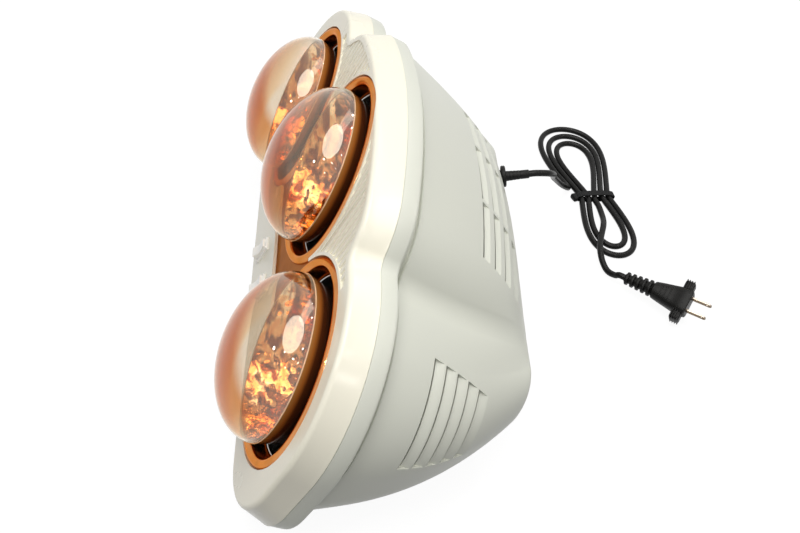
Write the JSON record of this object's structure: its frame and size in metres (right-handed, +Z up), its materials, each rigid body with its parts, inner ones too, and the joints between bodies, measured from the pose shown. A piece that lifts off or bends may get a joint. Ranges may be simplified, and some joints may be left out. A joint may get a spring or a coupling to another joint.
{
  "type": "bathroom heat lamp",
  "caption": "Leaning heat lamp with a lobed housing, reflector bulbs in copper rings, rocker switches, louvres and a tied mains lead.",
  "frame": {"origin": "on the table under the middle of the lamp without its lead", "axes": "+X along the lamp row, +Y to the back, +Z up; the lamp leans back on its band and its back's lower edge"},
  "size_m": [0.5271, 0.4299, 0.2275],
  "materials": {
    "cream_plastic": "glossy cream moulding",
    "grey_plastic": "satin pale grey moulding",
    "back_steel": "satin grey paint",
    "chassis_steel": "zinc plated sheet",
    "copper_trim": "polished copper plating",
    "reflector_aluminium": "bright spun sheet",
    "ceramic": "glazed ceramic",
    "lamp_glass": "mirrored copper-tinted glass",
    "cap_brass": "plain brass",
    "filament_wire": "drawn tungsten and glass stem",
    "switch_plastic": "glossy white moulding",
    "contact_brass": "plain brass",
    "clamp_plastic": "plain moulding",
    "lead_silicone": "heat-proof sleeve",
    "screw_steel": "zinc plated",
    "cord_rubber": "satin black",
    "plug_plastic": "satin black moulding",
    "blade_brass": "polished brass"
  },
  "bodies": {
    "lamp": {"front_frame": "cream_plastic", "bezel_plate": "copper_trim", "rear_housing": "grey_plastic", "back_plate": "back_steel", "chassis_plate": "chassis_steel", "reflector_left": "reflector_aluminium", "reflector_middle": "reflector_aluminium", "reflector_right": "reflector_aluminium", "lampholder_left": "ceramic", "lampholder_middle": "ceramic", "lampholder_right": "ceramic", "switch_body_left": "switch_plastic", "switch_body_right": "switch_plastic", "holder_contacts": "contact_brass", "terminal_block": "clamp_plastic", "cord_clamp": "clamp_plastic", "inner_leads": "lead_silicone", "frame_screws": "screw_steel", "chassis_screws": "screw_steel", "back_screws": "screw_steel", "cord_grommet": "cord_rubber", "cord_lead": "cord_rubber", "cord_hank": "cord_rubber", "cord_tie": "cord_rubber", "cord_tail": "cord_rubber", "plug_relief": "plug_plastic", "plug_body": "plug_plastic", "plug_blades": "blade_brass"},
    "bulb_cap_left": {"bulb_cap_left": "cap_brass"},
    "bulb_left": {"bulb_left": "lamp_glass", "filament_left": "filament_wire"},
    "bulb_cap_middle": {"bulb_cap_middle": "cap_brass"},
    "bulb_middle": {"bulb_middle": "lamp_glass", "filament_middle": "filament_wire"},
    "bulb_cap_right": {"bulb_cap_right": "cap_brass"},
    "bulb_right": {"bulb_right": "lamp_glass", "filament_right": "filament_wire"},
    "rocker_left": {"rocker_left": "switch_plastic"},
    "rocker_right": {"rocker_right": "switch_plastic"}
  },
  "joints": [
    {"name": "bulb_travel_left", "type": "slide", "parent": "lamp", "child": "bulb_cap_left", "axis": [0, -0.9194, 0.3934], "range_m": [0, 0.0182]},
    {"name": "bulb_turn_left", "type": "hinge", "parent": "bulb_cap_left", "child": "bulb_left", "pos_m": [-0.1493, -0.07745, 0.1022], "axis": [0, -0.9194, 0.3934], "range_deg": [0, 1800]},
    {"name": "bulb_travel_middle", "type": "slide", "parent": "lamp", "child": "bulb_cap_middle", "axis": [0, -0.9194, 0.3934], "range_m": [0, 0.0182]},
    {"name": "bulb_turn_middle", "type": "hinge", "parent": "bulb_cap_middle", "child": "bulb_middle", "pos_m": [0, -0.05518, 0.15424], "axis": [0, -0.9194, 0.3934], "range_deg": [0, 1800]},
    {"name": "bulb_travel_right", "type": "slide", "parent": "lamp", "child": "bulb_cap_right", "axis": [0, -0.9194, 0.3934], "range_m": [0, 0.0182]},
    {"name": "bulb_turn_right", "type": "hinge", "parent": "bulb_cap_right", "child": "bulb_right", "pos_m": [0.1493, -0.07745, 0.1022], "axis": [0, -0.9194, 0.3934], "range_deg": [0, 1800]},
    {"name": "rocker_turn_left", "type": "hinge", "parent": "lamp", "child": "rocker_left", "pos_m": [-0.022, -0.10328, 0.03929], "axis": [1, 0, 0], "range_deg": [0, 22]},
    {"name": "rocker_turn_right", "type": "hinge", "parent": "lamp", "child": "rocker_right", "pos_m": [0.022, -0.10328, 0.03929], "axis": [1, 0, 0], "range_deg": [0, 22]}
  ],
  "couplings": [
    {"joint": "bulb_travel_left", "follows": "bulb_turn_left", "m_per_rad": 0.00057614},
    {"joint": "bulb_travel_middle", "follows": "bulb_turn_middle", "m_per_rad": 0.00057614},
    {"joint": "bulb_travel_right", "follows": "bulb_turn_right", "m_per_rad": 0.00057614}
  ]
}
